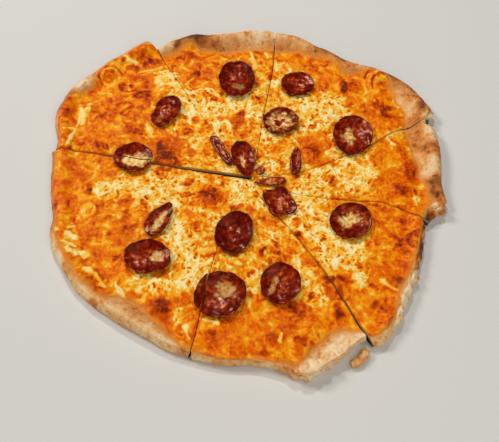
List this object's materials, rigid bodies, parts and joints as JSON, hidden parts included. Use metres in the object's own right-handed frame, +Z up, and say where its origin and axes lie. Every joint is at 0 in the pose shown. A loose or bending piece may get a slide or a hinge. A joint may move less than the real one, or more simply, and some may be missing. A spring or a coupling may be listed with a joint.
{
  "type": "pepperoni pizza",
  "caption": "Hand-stretched round pizza cut into slices that still lie together, with browned melted cheese, a puffed crust and cupped slices of sausage.",
  "frame": {"origin": "middle of the pizza's bounding box, on the plane that its underside rests on", "axes": "+Z up out of the topping, +X to the right and +Y away from the viewer of the picture"},
  "size_m": [0.3213, 0.3195, 0.0145],
  "materials": {
    "dough": "matt baked crust, floury in places",
    "cheese": "browned melted cheese, oily gloss",
    "sausage": "greasy cured sausage"
  },
  "bodies": {
    "root": {"cheese_east": "cheese", "cheese_north": "cheese", "cheese_north_east": "cheese", "cheese_north_west": "cheese", "cheese_south": "cheese", "cheese_south_east": "cheese", "cheese_west": "cheese", "crust_shard": "dough", "dough_east": "dough", "dough_north": "dough", "dough_north_east": "dough", "dough_north_west": "dough", "dough_south": "dough", "dough_south_east": "dough", "dough_west": "dough", "sausage_back": "sausage", "sausage_back_right": "sausage", "sausage_crescent": "sausage", "sausage_front_left_a": "sausage", "sausage_front_left_b": "sausage", "sausage_front_right": "sausage", "sausage_left_a": "sausage", "sausage_left_b": "sausage", "sausage_lower_left": "sausage", "sausage_lower_middle": "sausage", "sausage_lower_right": "sausage", "sausage_middle": "sausage", "sausage_middle_strip": "sausage", "sausage_right": "sausage", "sausage_scrap": "sausage", "sausage_teardrop": "sausage", "sausage_tip": "sausage", "sausage_tip_strip": "sausage", "sausage_upper_left": "sausage", "sausage_upper_right": "sausage"}
  },
  "joints": []
}
